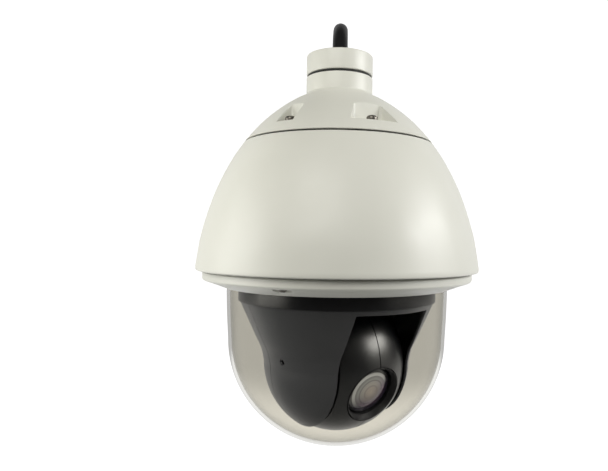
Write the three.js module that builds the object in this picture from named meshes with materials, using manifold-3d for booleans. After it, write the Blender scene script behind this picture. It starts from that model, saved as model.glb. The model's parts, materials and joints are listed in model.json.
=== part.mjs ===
// Pendant PTZ dome camera: a hollow neck and cap carry a sun shield and a sealed housing, and a clear
// bubble below holds a pan head with a tilting camera ball.
// Millimetres, +Z up. The origin is the middle of the neck's top face, where the pendant pipe screws in.
import * as THREE from "three";
import { mergeVertices } from "three/addons/utils/BufferGeometryUtils.js";
import Module from "manifold-3d";

const wasm = await Module();
wasm.setup();

// ---------------------------------------------------------------- driving dimensions
const DEG = Math.PI / 180;
const GAP = 0.3; // between touching pieces
const ROUND = 32; // sides of a large round piece
const INNER = 20; // sides of a round piece inside
const SMALL = 12; // sides of a small round piece

const NECK_R = 26.3; // outside of the neck
const THREAD_R = 19.6; // crest of the female pendant thread
const COLLAR_BOTTOM = -15.6;
const CAP_BOTTOM = -69.8;
const CAP_WALL = 3.2;
const POCKET_FLOOR = -61.5;
const POCKET_BACK = 51; // distance of a pocket's back wall from the axis
const CAP_SLOPE = [
  [NECK_R, -30.2], [28.2, -32.4], [31.8, -34.1], [37.3, -37.1], [48, -44.3],
  [59.3, -53.8], [68.1, -63.1], [73.4, CAP_BOTTOM],
];
const CAP_SCREW_RADIUS = 59.5;
const CAP_SCREW = { headR: 4, headHeight: 4.2, shankR: 2, length: 25.4 };
const SPIGOT = { r: 22.35, top: -9.3, bottom: -17.7 }; // the cap's spigot inside the collar
const POCKETS = [
  { heading: 23.5, back: 12, front: 21 },
  { heading: 145, back: 6.5, front: 8 },
  { heading: 203.5, back: 12, front: 21 },
  { heading: 325, back: 6.5, front: 8 },
];

const SHIELD_TOP = -71.2;
const SHIELD_WALL = 2.4;
const SHIELD_R = 110;
const SHIELD_RIM = -169;
const SHIELD_HOLE = 66; // inner radius of the shield's top flange
const SHIELD_SIDE = [
  [74.6, SHIELD_TOP], [83, -83.8], [92.5, -102], [99.7, -120.4], [106.2, -143], [SHIELD_R, -166],
];

const HOUSING_TOP = -73.9;
const HOUSING_BOTTOM = -168;
const FLANGE_R = 102.5;
const BEZEL_TOP = -169.5;
const BEZEL_SCREW_RADIUS = 98.6;
const BEZEL_SCREW_HEADINGS = [-20, 100, 220];

const BUBBLE_R = 86.4; // at the bezel
const BUBBLE_WALL = 2.4;
const BUBBLE_WAIST = -222; // below this the bubble is half an ellipsoid
const BUBBLE_WAIST_R = 84.9;
const BUBBLE_DEPTH = 82.6;

const CABLE_R = 6.2;
const CABLE_SIDES = 10;
const CABLE_STEPS = 30;
const BORE_R = CABLE_R + GAP;
const CABLE_ROUTE = [
  // up through the neck, over in one bend, and down behind the shield
  [0, 0, -70], [0, 0, -52], [0, 0, -36], [0, 0, -20.5],
  [0, 4.5, 2.1], [0, 17.3, 21.2], [0, 36.4, 34], [0, 59, 38.5], [0, 81.8, 34], [0, 101.2, 21.2],
  [0, 114.4, 2.1], [0, 119.6, -20.5], [0, 121, -48], [0, 121, -80], [0, 120.2, -112],
  [0, 119.2, -144], [0, 118.6, -176], [0, 118.4, -208], [0, 118.4, -240],
];
const CABLE_END = -240;
const CABLE_Y = 118.4;

const CHASSIS_TOP = -150;
const PAN_PULLEY_R = 38.8; // 120 teeth
const PAN_DRIVE_R = PAN_PULLEY_R / 6; // 20 teeth
const PAN_MOTOR = { radius: 58, angle: 40 };
const HUB_R = 18; // the hollow hub that the bearing, the pulley and the turntable sit on
const BEARING = { outer: 29.7, split: 24, inner: HUB_R + GAP, bottom: -157.2, top: -151.8 };
const FAN = { radius: 53, angle: 150, side: 40 };
const BELT_THICK = 1.3;

const LENS_HEADING = 37; // the head's rest heading, from the front towards +X
const LENS_DROP = 22; // the lens's rest angle below level
const TILT_Z = -240; // height of the tilt axis
const TURNTABLE_R = 77.6;
const SKIRT_BOTTOM = -192.6;
const COVER_R = 57.3; // the yoke covers' round lower half
const COVER_FLARE = [[76.2, -192.9], [69.8, -207.4], [63.6, -221], [59.5, -230], [COVER_R, TILT_Z]];
const COVER_WALL = 1.7;
const COVER_SPLIT = -5; // where front and rear covers meet
const SLOT_HALF = 33; // half the width of the slot that the ball looks out of
const SLOT_TOP = -196.3;
const ARM = { inner: 40, outer: 43, width: 18 };
const COVER_SCREW = { x: 11.6, z: 5.6, holeR: 2.2 }; // holeR is the cover's own hole
const BALL_R = 54.6;
const BALL_WALL = 2;
const BALL_HALF = 30; // half the ball's width along the tilt axis
const TILT_MOTOR = { x: -45, z: 50, r: 10, length: 27.7 };
const TILT_PULLEY_R = 9.7; // 30 teeth
const TILT_DRIVE_R = TILT_PULLEY_R / 2; // 15 teeth
const TILT_BELT = { near: 45.7, far: 49.3 };
const SHAFT_R = 4;
const LENS_RING_R = 22.6;
const BARREL_R = 20.5;
const FRONT_LENS_R = 19.9;

// ---------------------------------------------------------------- finishes
const finish = (color, roughness, metalness = 0) => ({ color, roughness, metalness });
const HOUSING_PAINT = finish(0xe2e0d6, 0.42);
const CAST_ALLOY = finish(0xa7a9a8, 0.5, 0.8);
const BLACK_PLASTIC = finish(0x26272a, 0.35);
const RUBBER = finish(0x1a1a1a, 0.85);
const STEEL = finish(0xb4b5b8, 0.3, 1);
const DARK_STEEL = finish(0x55534e, 0.45, 0.9);
const BOARD = finish(0x1d5a35, 0.55);
const CLEAR = finish(0xe8e8e4, 0.05);
const GLASS = finish(0x9a93a3, 0.05);
const BRASS = finish(0xc3a15a, 0.35, 1);
const JACKET = finish(0x18181a, 0.5);

// ---------------------------------------------------------------- solids
function toSolid(geometry) {
  const bare = geometry.clone();
  bare.deleteAttribute("normal");
  bare.deleteAttribute("uv");
  const merged = mergeVertices(bare, 1e-4);
  const corners = merged.index.array;
  const kept = [];
  for (let i = 0; i < corners.length; i += 3) {
    const [a, b, c] = corners.slice(i, i + 3);
    if (a !== b && b !== c && c !== a) kept.push(a, b, c);
  }
  const make = (triangles) =>
    new wasm.Manifold(
      new wasm.Mesh({
        numProp: 3,
        vertProperties: new Float32Array(merged.attributes.position.array),
        triVerts: new Uint32Array(triangles),
      }),
    );
  const made = make(kept);
  return made.volume() < 0 ? make(kept.reverse()) : made;
}

function toGeometry(solid) {
  const mesh = solid.getMesh();
  const geometry = new THREE.BufferGeometry();
  geometry.setAttribute("position", new THREE.BufferAttribute(mesh.vertProperties, 3));
  geometry.setIndex(new THREE.BufferAttribute(mesh.triVerts, 1));
  return geometry;
}

function join(first, ...others) {
  return toGeometry(others.reduce((sum, next) => sum.add(toSolid(next)), toSolid(first)));
}

function cut(first, ...tools) {
  return toGeometry(tools.reduce((left, tool) => left.subtract(toSolid(tool)), toSolid(first)));
}

// A solid of revolution about Z, X or Y, from [radius, distance along the axis] points.
function revolve(profile, sides = ROUND, axis = "z") {
  const points = profile.map(([r, along]) => new THREE.Vector2(r, along));
  const onAxis = profile[0][0] === 0 && profile.at(-1)[0] === 0;
  if (!onAxis) points.push(points[0].clone());
  const lathe = new THREE.LatheGeometry(points, sides);
  if (axis === "z") lathe.rotateX(Math.PI / 2);
  if (axis === "x") lathe.rotateZ(-Math.PI / 2);
  return lathe;
}

const disc = (r, from, to, sides = ROUND, axis = "z") =>
  revolve([[0, from], [r, from], [r, to], [0, to]], sides, axis);

const ring = (outer, inner, from, to, sides = ROUND, axis = "z") =>
  revolve([[inner, from], [outer, from], [outer, to], [inner, to]], sides, axis);

function box(x0, x1, y0, y1, z0, z1) {
  const block = new THREE.BoxGeometry(x1 - x0, y1 - y0, z1 - z0);
  return block.translate((x0 + x1) / 2, (y0 + y1) / 2, (z0 + z1) / 2);
}

// A flat outline in X and Z, thickened along Y from `near` to `far`.
function plateXZ(shape, near, far, curveSteps = 8) {
  const plate = new THREE.ExtrudeGeometry(shape, {
    depth: far - near,
    bevelEnabled: false,
    curveSegments: curveSteps,
  });
  return plate.rotateX(Math.PI / 2).translate(0, far, 0);
}

// A flat outline in X and Y, thickened along Z.
function plateXY(shape, bottom, top, curveSteps = 8) {
  const plate = new THREE.ExtrudeGeometry(shape, {
    depth: top - bottom,
    bevelEnabled: false,
    curveSegments: curveSteps,
  });
  return plate.translate(0, 0, bottom);
}

const spline = (points, steps) =>
  new THREE.SplineCurve(points.map(([r, z]) => new THREE.Vector2(r, z)))
    .getPoints(steps)
    .map((p) => [p.x, p.y]);

const arc = (cx, cz, rx, rz, fromDeg, toDeg, steps) =>
  Array.from({ length: steps + 1 }, (_, i) => {
    const angle = (fromDeg + ((toDeg - fromDeg) * i) / steps) * DEG;
    return [cx + rx * Math.cos(angle), cz + rz * Math.sin(angle)];
  });

// A bowl's outline, from its rim at height z down to its lowest point, which is exactly on the axis.
function quarter(z, r, depth, steps) {
  const points = arc(0, z, r, depth, 0, -90, steps);
  points[steps][0] = 0;
  return points;
}

// The same outline moved towards the axis side by a wall's thickness.
function inset(points, wall) {
  return points.map(([r, z], i) => {
    const [r0, z0] = points[Math.max(i - 1, 0)];
    const [r1, z1] = points[Math.min(i + 1, points.length - 1)];
    const length = Math.hypot(r1 - r0, z1 - z0);
    return [r + ((z1 - z0) / length) * wall, z - ((r1 - r0) / length) * wall];
  });
}

// A heading of 0 is the front (-Y), and it grows towards +X.
const atHeading = (geometry, heading) => geometry.rotateZ((heading - 90) * DEG);

function place(radius, angleDeg) {
  return [radius * Math.cos(angleDeg * DEG), radius * Math.sin(angleDeg * DEG)];
}

// The outline of a belt round two pulleys: one at the origin, one at `span` along +X.
function beltShape(bigR, smallR, span) {
  const lean = Math.acos((bigR - smallR) / span);
  const shape = new THREE.Shape();
  shape.absarc(0, 0, bigR, lean, 2 * Math.PI - lean, false);
  shape.absarc(span, 0, smallR, -lean, lean, false);
  return shape;
}

function belt(bigR, smallR, span, bottom, top) {
  const loop = (grow, from, to) => plateXY(beltShape(bigR + grow, smallR + grow, span), from, to, SMALL);
  return cut(loop(GAP + BELT_THICK, bottom, top), loop(GAP, bottom - 1, top + 1));
}

// A belt pulley along Z, with a flange at its lower end that keeps the belt on.
const pulley = (r, bore, bottom, top, sides) =>
  revolve(
    [
      [bore, bottom], [r + 1.2, bottom], [r + 1.2, bottom + 0.7], [r, bottom + 0.7], [r, top], [bore, top],
    ],
    sides,
  );

// A socket-head screw with its head's top face at z = 0 and its shank pointing down.
function screw(headR, headHeight, shankR, length) {
  const body = revolve(
    [
      [0, 0], [headR - 0.4, 0], [headR, -0.4], [headR, -headHeight],
      [shankR, -headHeight], [shankR, -length], [0, -length],
    ],
    10,
  );
  return cut(body, disc(headR * 0.5, -headHeight * 0.6, 1, 6));
}

// ---------------------------------------------------------------- assembly tree
const camera = new THREE.Group();
const panHead = new THREE.Group();
panHead.rotation.z = (LENS_HEADING - 90) * DEG; // the lens looks along the head's own +X
camera.add(panHead);
const ball = new THREE.Group();
ball.position.z = TILT_Z;
ball.rotation.y = LENS_DROP * DEG; // the tilt axis is the head's own +Y
panHead.add(ball);

function add(group, name, geometry, look) {
  const mesh = new THREE.Mesh(toGeometry(toSolid(geometry)), new THREE.MeshStandardMaterial(look));
  mesh.name = name;
  group.add(mesh);
}

// ---------------------------------------------------------------- neck and cap
function mountCollar() {
  return revolve([
    [THREAD_R + 1.2, 0], [NECK_R - 0.6, 0], [NECK_R, -0.6], [NECK_R, COLLAR_BOTTOM],
    [22.65, COLLAR_BOTTOM], [22.65, -9], [THREAD_R, -9], [THREAD_R, -1.2],
  ]);
}

// A pocket's plan: a trapezoid with rounded back corners, opening outwards along +X.
function pocketBlock(back, front, grow, bottom, top) {
  const near = POCKET_BACK - grow;
  const far = 95;
  const halfBack = back + grow;
  const halfFront = front + grow + ((front - back) * (far - 66)) / 15;
  const corner = 2.5;
  const shape = new THREE.Shape();
  shape.moveTo(near, -halfBack + corner);
  shape.quadraticCurveTo(near, -halfBack, near + corner, -halfBack);
  shape.lineTo(far, -halfFront);
  shape.lineTo(far, halfFront);
  shape.lineTo(near + corner, halfBack);
  shape.quadraticCurveTo(near, halfBack, near, halfBack - corner);
  return plateXY(shape, bottom, top, 2);
}

function topCap() {
  const slope = spline(CAP_SLOPE, 8);
  const outer = revolve([
    [0, SPIGOT.top], [SPIGOT.r, SPIGOT.top], [SPIGOT.r, SPIGOT.bottom], [NECK_R, SPIGOT.bottom],
    ...slope, [0, CAP_BOTTOM],
  ]);
  const inside = inset(slope, CAP_WALL).filter((_, i) => i % 2 === 0);
  const [lastR] = inside.at(-1);
  const hollow = revolve([
    [0, -5], [THREAD_R, -5], [THREAD_R, -31], ...inside.slice(1), [lastR, -80], [0, -80],
  ]);
  const walls = POCKETS.map(({ heading, back, front }) =>
    atHeading(pocketBlock(back, front, CAP_WALL, POCKET_FLOOR - CAP_WALL, 0), heading),
  );
  const pockets = POCKETS.map(({ heading, back, front }) =>
    atHeading(pocketBlock(back, front, 0, POCKET_FLOOR, 0), heading),
  );
  const holes = POCKETS.map(({ heading }) =>
    atHeading(disc(2.3, -80, -50, 8).translate(CAP_SCREW_RADIUS, 0, 0), heading),
  );
  return cut(cut(outer, cut(hollow, ...walls)), ...pockets, ...holes);
}

function neckAndCap() {
  add(camera, "mount_collar", mountCollar(), HOUSING_PAINT);
  const gasket = ring(25.2, 22.8, SPIGOT.bottom + GAP, COLLAR_BOTTOM - GAP, INNER);
  add(camera, "collar_gasket", gasket, RUBBER);
  add(camera, "top_cap", topCap(), HOUSING_PAINT);
  POCKETS.forEach(({ heading }, i) => {
    const { headR, headHeight, shankR, length } = CAP_SCREW;
    const fixing = screw(headR, headHeight, shankR, length);
    fixing.translate(CAP_SCREW_RADIUS, 0, POCKET_FLOOR + GAP + headHeight);
    add(camera, `cap_screw_${i + 1}`, atHeading(fixing, heading), DARK_STEEL);
  });
  add(camera, "cap_seal", ring(72.3, 70.2, -70.9, -70.1, INNER), RUBBER);
}

// ---------------------------------------------------------------- sun shield, housing and bezel
function sunShield() {
  const side = spline(SHIELD_SIDE, 7);
  const inside = inset(side, SHIELD_WALL).filter((_, i) => i % 2 === 1).reverse();
  return revolve([
    [SHIELD_HOLE, SHIELD_TOP], ...side,
    [SHIELD_R - 0.4, SHIELD_RIM], [SHIELD_R - SHIELD_WALL, SHIELD_RIM],
    ...inside,
    [73.4, SHIELD_TOP - SHIELD_WALL], [SHIELD_HOLE, SHIELD_TOP - SHIELD_WALL],
  ]);
}

function innerHousing() {
  const outer = revolve([
    [0, HOUSING_TOP], [70, HOUSING_TOP], [72, -75.5], [84, -112], [91, -150], [92, -162],
    [FLANGE_R, -163.5], [FLANGE_R, HOUSING_BOTTOM], [0, HOUSING_BOTTOM],
  ]);
  const hollow = revolve([
    [0, -76.9], [68.5, -76.9], [81, -113], [88, -150], [88, -175], [0, -175],
  ]);
  const ledge = ring(88.6, 80, -149.7, -145.9);
  const posts = [0, 120, 240].flatMap((angle) => [
    disc(3.5, -85.7, -75, 8).translate(...place(44, angle), 0),
    disc(3.5, -103.7, -75, 8).translate(...place(62, angle + 60), 0),
  ]);
  const atCapScrews = (r, from, to, sides) =>
    POCKETS.map(({ heading }) => {
      const rod = disc(r, from, to, sides).translate(CAP_SCREW_RADIUS, 0, 0);
      return atHeading(rod, heading);
    });
  const bosses = atCapScrews(5, HOUSING_TOP - 12, POCKET_FLOOR - CAP_WALL - GAP, 10);
  const threads = atCapScrews(2.3, HOUSING_TOP - 11, 0, 8);
  const bezelThreads = BEZEL_SCREW_HEADINGS.map((heading) =>
    atHeading(disc(1.8, -180, -164.4, 8).translate(BEZEL_SCREW_RADIUS, 0, 0), heading),
  );
  const shell = join(cut(outer, hollow), ledge, ...posts, ...bosses);
  return cut(shell, ...threads, ...bezelThreads, disc(10, -90, 0, SMALL));
}

function domeBezel() {
  const body = revolve([
    [92.5, BEZEL_TOP], [103.9, BEZEL_TOP], [104.9, -170.5], [104.9, -175.2], [104.1, -176.3],
    [96.6, -178.9], [88.3, -182.1], [87.6, -182.4], [87, -182], [87, -178.6], [92.5, -178.6],
  ]);
  const slotHalf = 7;
  const slotWide = 3.2;
  const recesses = BEZEL_SCREW_HEADINGS.map((heading) => {
    const slot = new THREE.Shape();
    slot.absarc(0, slotHalf - slotWide, slotWide, 0, Math.PI, false);
    slot.absarc(0, slotWide - slotHalf, slotWide, Math.PI, 2 * Math.PI, false);
    return atHeading(plateXY(slot, -190, -174.6, 3).translate(BEZEL_SCREW_RADIUS, 0, 0), heading);
  });
  const holes = BEZEL_SCREW_HEADINGS.map((heading) =>
    atHeading(disc(1.8, -190, -160, 8).translate(BEZEL_SCREW_RADIUS, 0, 0), heading),
  );
  return cut(body, ...recesses, ...holes);
}

function bubble() {
  const bowl = (wall) => quarter(BUBBLE_WAIST, BUBBLE_WAIST_R - wall, BUBBLE_DEPTH - wall, 7);
  const straightEnd = -187;
  const flange = { r: 92.2, top: -176, bottom: -178.3 };
  const innerR = BUBBLE_R - BUBBLE_WALL;
  return revolve([
    ...bowl(0).reverse(), [BUBBLE_R, straightEnd], [BUBBLE_R, flange.bottom], [flange.r, flange.bottom],
    [flange.r, flange.top], [innerR, flange.top], [innerR, straightEnd], ...bowl(BUBBLE_WALL),
  ]);
}

function housingAndBezel() {
  add(camera, "sun_shield", sunShield(), HOUSING_PAINT);
  add(camera, "inner_housing", innerHousing(), CAST_ALLOY);
  add(camera, "housing_gasket", ring(96.2, 93.4, -169.2, HOUSING_BOTTOM - GAP, INNER), RUBBER);
  add(camera, "dome_bezel", domeBezel(), HOUSING_PAINT);
  BEZEL_SCREW_HEADINGS.forEach((heading, i) => {
    const fixing = screw(2.7, 4.2, 1.5, 14).rotateX(Math.PI).translate(BEZEL_SCREW_RADIUS, 0, -179.1);
    add(camera, `bezel_screw_${i + 1}`, atHeading(fixing, heading), DARK_STEEL);
  });
  add(camera, "dome_bubble", bubble(), CLEAR);
  add(camera, "dome_seal", ring(91.8, 88.6, -175.7, HOUSING_BOTTOM - GAP, ROUND), RUBBER);
}

// ---------------------------------------------------------------- cable, gland and connector
function glandBody() {
  const hex = disc(13.8, -73.6, -66, 6);
  const shank = disc(9.6, -84, -60, SMALL);
  return cut(join(hex, shank), disc(7.2, -90, -50, SMALL));
}

function glandNut() {
  const shell = revolve([
    [0, -65.7], [13, -65.7], [13, -59], [8.6, -55], [0, -55],
  ], SMALL);
  return cut(shell, disc(10, -70, -59.7, SMALL), disc(BORE_R, -70, -50, SMALL));
}

function strainRelief() {
  return revolve([
    [BORE_R, -54.7], [10, -54.7], [10, -51], [7.4, -22], [BORE_R, -22],
  ], SMALL);
}

function cable() {
  const section = new THREE.Shape(
    Array.from({ length: CABLE_SIDES }, (_, i) => {
      const angle = (2 * Math.PI * i) / CABLE_SIDES;
      return new THREE.Vector2(CABLE_R * Math.cos(angle), CABLE_R * Math.sin(angle));
    }),
  );
  const route = new THREE.CatmullRomCurve3(CABLE_ROUTE.map((p) => new THREE.Vector3(...p)));
  return new THREE.ExtrudeGeometry(section, { steps: CABLE_STEPS, extrudePath: route });
}

function connectorBody() {
  const overmould = revolve([
    [0, CABLE_END - GAP], [7.2, CABLE_END - GAP], [7.8, CABLE_END - 2],
    [9.4, -258], [9.4, -261], [6.9, -261], [6.9, -284], [0, -284],
  ], SMALL);
  const socket = disc(5.8, -290, -276, SMALL);
  const pinAngles = [45, 135, 225, 315];
  const pins = pinAngles.map((angle) => disc(0.9, -283, -275, 8).translate(...place(3.2, angle), 0));
  return join(cut(overmould, socket), ...pins).translate(0, CABLE_Y, 0);
}

function connectorRing() {
  const body = revolve([
    [7.2, -262], [11.4, -262], [11.4, -282], [9.6, -282], [9.6, -266], [7.2, -266],
  ], SMALL);
  return body.translate(0, CABLE_Y, 0);
}

function cableAndConnector() {
  add(camera, "gland_body", glandBody(), BRASS);
  add(camera, "gland_nut", glandNut(), BRASS);
  add(camera, "strain_relief", strainRelief(), RUBBER);
  add(camera, "cable", cable(), JACKET);
  add(camera, "connector_body", connectorBody(), BLACK_PLASTIC);
  add(camera, "connector_ring", connectorRing(), STEEL);
}

// ---------------------------------------------------------------- electronics and fan
function powerBoard() {
  const board = ring(50, 12, -87.6, -86);
  const capacitors = [200, 230].map((angle) => disc(6, -99, -87, 14).translate(...place(33, angle), 0));
  const transformer = box(-12, 12, 24, 42, -101, -87);
  const terminals = box(22, 40, -9, 9, -97, -87);
  return join(board, ...capacitors, transformer, terminals);
}

function mainBoard() {
  const board = ring(66, 14, -105.6, -104);
  const processor = box(-52, -30, -11, 11, -109, -105);
  const network = box(28, 44, -20, -4, -115, -105);
  const plugs = [70, 250].map((angle) => box(-9, 9, -3, 3, -112, -105).translate(...place(50, angle), 0));
  return join(board, processor, network, ...plugs);
}

function fanFrame() {
  const half = FAN.side / 2;
  const frame = cut(box(-half, half, -half, half, -149.7, -139.7), disc(18.5, -160, -130, INNER));
  const spokes = [0, 120, 240].map((angle) => box(0, 19.2, -1.2, 1.2, -149.7, -148).rotateZ(angle * DEG));
  return join(frame, disc(9, -149.7, -148, SMALL), ...spokes);
}

function fanRotor() {
  const blades = Array.from({ length: 7 }, (_, i) => {
    const blade = box(7, 17.6, -0.7, 0.7, -3.6, 3.6).rotateX(38 * DEG);
    return blade.rotateZ((i * 360 * DEG) / 7).translate(0, 0, -144);
  });
  return join(disc(9, -147.6, -140.4, SMALL), ...blades);
}

function electronics() {
  add(camera, "power_board", powerBoard(), BOARD);
  add(camera, "main_board", mainBoard(), BOARD);
  const fan = new THREE.Group();
  const [fanX, fanY] = place(FAN.radius, FAN.angle);
  fan.position.set(fanX, fanY, 0);
  fan.rotation.z = FAN.angle * DEG;
  camera.add(fan);
  add(fan, "fan_frame", fanFrame(), BLACK_PLASTIC);
  add(fan, "fan_rotor", fanRotor(), BLACK_PLASTIC);
}

// ---------------------------------------------------------------- pan drive
function chassisPlate() {
  const plate = disc(84, CHASSIS_TOP - 3, CHASSIS_TOP);
  const hub = disc(35, CHASSIS_TOP - 7.5, CHASSIS_TOP);
  const bearingSeat = disc(BEARING.outer + GAP, -170, CHASSIS_TOP - 1.5);
  const lip = disc(25, -170, -140);
  const fanHole = disc(17, -170, -140, INNER).translate(...place(FAN.radius, FAN.angle), 0);
  const motorHole = disc(11.5, -170, -140, 16).translate(...place(PAN_MOTOR.radius, PAN_MOTOR.angle), 0);
  return cut(join(plate, hub), bearingSeat, lip, fanHole, motorHole);
}

function panMotor() {
  const half = 17.5;
  const bevel = 3;
  const shape = new THREE.Shape();
  shape.moveTo(-half + bevel, -half);
  shape.lineTo(half - bevel, -half);
  shape.lineTo(half, -half + bevel);
  shape.lineTo(half, half - bevel);
  shape.lineTo(half - bevel, half);
  shape.lineTo(-half + bevel, half);
  shape.lineTo(-half, half - bevel);
  shape.lineTo(-half, -half + bevel);
  const body = plateXY(shape, -149.7, -123.7);
  const pilot = disc(11, -151.7, -149, SMALL);
  return cut(join(body, pilot), disc(2.8, -160, -130, SMALL));
}

const bearingRing = (outer, inner) => ring(outer, inner, BEARING.bottom, BEARING.top, INNER);

function panDrive() {
  add(camera, "chassis_plate", chassisPlate(), CAST_ALLOY);
  add(camera, "pan_bearing_outer", bearingRing(BEARING.outer, BEARING.split + 0.2), STEEL);
  const motor = new THREE.Group();
  const [motorX, motorY] = place(PAN_MOTOR.radius, PAN_MOTOR.angle);
  motor.position.set(motorX, motorY, 0);
  motor.rotation.z = PAN_MOTOR.angle * DEG;
  camera.add(motor);
  add(motor, "pan_motor", panMotor(), DARK_STEEL);
  const drive = join(pulley(PAN_DRIVE_R, 2.4, -166, -158, SMALL), disc(2.5, -166, -133, SMALL));
  add(motor, "pan_motor_pulley", drive, STEEL);
  const loop = belt(PAN_PULLEY_R, PAN_DRIVE_R, PAN_MOTOR.radius, -164.8, -159.2);
  add(camera, "pan_belt", loop.rotateZ(PAN_MOTOR.angle * DEG), RUBBER);
  const stator = revolve([
    [0, -118], [11, -118], [11, -143], [29, -143], [29, -149.7], [26, -149.7], [26, -146],
    [BORE_R, -146], [BORE_R, -121], [0, -121],
  ], INNER);
  add(camera, "slip_ring_stator", stator, BLACK_PLASTIC);
  add(panHead, "slip_ring_rotor", disc(6.2, -170, -122, SMALL), BRASS);
  add(panHead, "pan_bearing_inner", bearingRing(BEARING.split - 0.2, BEARING.inner), STEEL);
  const hub = revolve([
    [BORE_R, -149], [20.5, -149], [20.5, -151.5], [HUB_R, -151.5], [HUB_R, -171.7], [BORE_R, -171.7],
  ], INNER);
  add(panHead, "pan_hub", hub, STEEL);
  add(panHead, "pan_pulley", pulley(PAN_PULLEY_R, HUB_R + GAP, -166, -158, INNER), BLACK_PLASTIC);
}

// ---------------------------------------------------------------- turntable, yoke and covers
function turntable() {
  return revolve([
    [7, -172], [HUB_R + GAP, -172], [HUB_R + GAP, -168], [24, -168], [24, -172], [TURNTABLE_R, -172],
    [TURNTABLE_R, SKIRT_BOTTOM], [TURNTABLE_R - 2, SKIRT_BOTTOM], [TURNTABLE_R - 2, -175], [7, -175],
  ]);
}

function armShape(carriesMotor) {
  const top = -177;
  const shape = new THREE.Shape();
  shape.moveTo(ARM.width, top);
  shape.lineTo(ARM.width, TILT_Z);
  shape.absarc(0, TILT_Z, ARM.width, 0, -Math.PI, true);
  if (carriesMotor) {
    shape.lineTo(-ARM.width, -216);
    shape.lineTo(-38, -200.5);
    shape.lineTo(-54, -200.5);
    shape.lineTo(-54, top);
  } else {
    shape.lineTo(-ARM.width, top);
  }
  return shape;
}

function armPlate(carriesMotor, side) {
  const plate = plateXZ(armShape(carriesMotor), ARM.inner, ARM.outer, 10);
  return side > 0 ? plate : plate.translate(0, -ARM.inner - ARM.outer, 0);
}

function yokeFrame() {
  const across = (r, x, z, sides) => disc(r, -60, 60, sides, "y").translate(x, 0, TILT_Z + z);
  const body = join(ring(70, 7, -178.3, -175.3), armPlate(true, 1), armPlate(false, -1));
  const shaftHole = disc(3, 20, 60, SMALL, "y").translate(TILT_MOTOR.x, 0, TILT_Z + TILT_MOTOR.z);
  return cut(body, across(7, 0, 0, SMALL), across(1.5, COVER_SCREW.x, COVER_SCREW.z, 10), shaftHole);
}

function yokeCover() {
  const flare = spline(COVER_FLARE, 6);
  const bowl = (r) => quarter(TILT_Z, r, r, 8);
  const lip = { top: -184, outer: 75.2, inner: 73.2 };
  const outer = revolve([
    [0, lip.top], [lip.outer, lip.top], [lip.outer, -192.9], ...flare, ...bowl(COVER_R).slice(1),
  ]);
  const inside = inset(flare, COVER_WALL).slice(1, -1);
  const hollow = revolve([
    [0, -180], [lip.inner, -180], [lip.inner, -195], ...inside, ...bowl(COVER_R - COVER_WALL),
  ]);
  const slotFront = box(0, 100, -SLOT_HALF, SLOT_HALF, -320, SLOT_TOP);
  const slotUnder = box(-28.5, 1, -SLOT_HALF, SLOT_HALF, -320, TILT_Z);
  const holes = disc(COVER_SCREW.holeR, -70, 70, 12, "y");
  holes.translate(COVER_SCREW.x, 0, TILT_Z + COVER_SCREW.z);
  return cut(cut(outer, hollow), slotFront, slotUnder, holes);
}

function yoke() {
  add(panHead, "turntable", turntable(), BLACK_PLASTIC);
  add(panHead, "yoke_frame", yokeFrame(), BLACK_PLASTIC);
  const cover = yokeCover();
  const seam = GAP / 2;
  const allBehind = box(-100, COVER_SPLIT + seam, -100, 100, -330, -170);
  const allInFront = box(COVER_SPLIT - seam, 100, -100, 100, -330, -170);
  add(panHead, "yoke_cover_front", cut(cover, allBehind), BLACK_PLASTIC);
  add(panHead, "yoke_cover_rear", cut(cover, allInFront), BLACK_PLASTIC);
  for (const [side, label] of [[-1, "left"], [1, "right"]]) {
    const fixing = screw(2, 1.4, 1.2, 13.6).rotateX(-side * 90 * DEG);
    fixing.translate(COVER_SCREW.x, side * 54, TILT_Z + COVER_SCREW.z);
    add(panHead, `cover_screw_${label}`, fixing, DARK_STEEL);
    const bush = revolve([
      [SHAFT_R + GAP, 38.2], [8.6, 38.2], [8.6, ARM.inner - GAP], [6.7, ARM.inner - GAP],
      [6.7, 43.6], [SHAFT_R + GAP, 43.6],
    ], SMALL, "y");
    if (side < 0) bush.rotateX(Math.PI);
    add(panHead, `tilt_bush_${label}`, bush.translate(0, 0, TILT_Z), BRASS);
  }
}

// ---------------------------------------------------------------- tilt drive
function tiltDrive() {
  const axisZ = TILT_Z + TILT_MOTOR.z;
  const start = ARM.inner - GAP - TILT_MOTOR.length;
  const motor = cut(
    disc(TILT_MOTOR.r, start, ARM.inner - GAP, SMALL, "y"),
    disc(1.8, start + 8, 60, SMALL, "y"),
  );
  add(panHead, "tilt_motor", motor.translate(TILT_MOTOR.x, 0, axisZ), DARK_STEEL);
  const toY = (geometry) => geometry.rotateX(-90 * DEG); // the drive is drawn along Z, then laid along Y
  const drive = join(pulley(TILT_DRIVE_R, 1.4, 45, 50, 16), disc(1.5, start + 9, 50, SMALL));
  add(panHead, "tilt_motor_pulley", toY(drive).translate(TILT_MOTOR.x, 0, axisZ), STEEL);
  const span = Math.hypot(TILT_MOTOR.x, TILT_MOTOR.z);
  const loop = toY(belt(TILT_PULLEY_R, TILT_DRIVE_R, span, TILT_BELT.near, TILT_BELT.far));
  const lean = Math.atan2(TILT_MOTOR.z, TILT_MOTOR.x);
  add(panHead, "tilt_belt", loop.rotateY(-lean).translate(0, 0, TILT_Z), RUBBER);
}

// A stub shaft along Y with the flange that holds it to the camera block.
function stubShaft(tip) {
  const outer = BALL_HALF - BALL_WALL - GAP;
  const flange = { r: 10, inner: outer - 2.5, outer };
  return revolve([
    [0, flange.inner], [flange.r, flange.inner], [flange.r, flange.outer],
    [SHAFT_R, flange.outer], [SHAFT_R, tip], [0, tip],
  ], SMALL, "y");
}

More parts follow.
